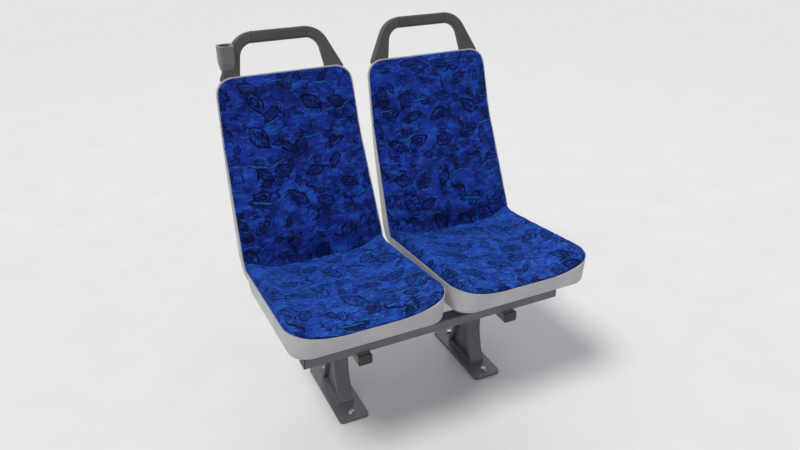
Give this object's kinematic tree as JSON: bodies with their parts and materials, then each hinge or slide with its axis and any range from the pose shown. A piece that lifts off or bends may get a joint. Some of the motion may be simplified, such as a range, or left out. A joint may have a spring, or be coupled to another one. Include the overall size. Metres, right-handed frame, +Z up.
{
  "type": "twin passenger seat of a city bus",
  "caption": "Two moulded bus seats with patterned blue pads and loop handles on a floor-standing steel frame; the aisle handle has a stanchion socket.",
  "frame": {"origin": "on the floor, at the centre of the four floor bolts", "axes": "+Z up, +X along the pair from the aisle seat to the window seat, +Y to the rear, so the seats face -Y"},
  "size_m": [0.8866, 0.6684, 1.028],
  "materials": {
    "shell_plastic": "moulded, fine grain",
    "handle_plastic": "moulded, fine grain",
    "frame_paint": "powder coat",
    "cap_plastic": "satin",
    "moquette": "patterned moquette pile"
  },
  "bodies": {
    "root": {"aisle_back_pad": "moquette", "aisle_back_shell": "shell_plastic", "aisle_foot_plate": "frame_paint", "aisle_handle": "handle_plastic", "aisle_handle_grip": "handle_plastic", "aisle_pedestal": "frame_paint", "aisle_rail_caps": "cap_plastic", "aisle_risers": "frame_paint", "aisle_saddles": "frame_paint", "aisle_seat_pad": "moquette", "aisle_seat_pan": "shell_plastic", "aisle_side_rail": "frame_paint", "aisle_uprights": "frame_paint", "cross_tube_caps": "cap_plastic", "front_cross_tube": "frame_paint", "rear_cross_tube": "frame_paint", "stanchion_socket": "handle_plastic", "window_back_pad": "moquette", "window_back_shell": "shell_plastic", "window_foot_plate": "frame_paint", "window_handle": "handle_plastic", "window_handle_grip": "handle_plastic", "window_pedestal": "frame_paint", "window_rail_caps": "cap_plastic", "window_risers": "frame_paint", "window_saddles": "frame_paint", "window_seat_pad": "moquette", "window_seat_pan": "shell_plastic", "window_side_rail": "frame_paint", "window_uprights": "frame_paint"}
  },
  "joints": []
}
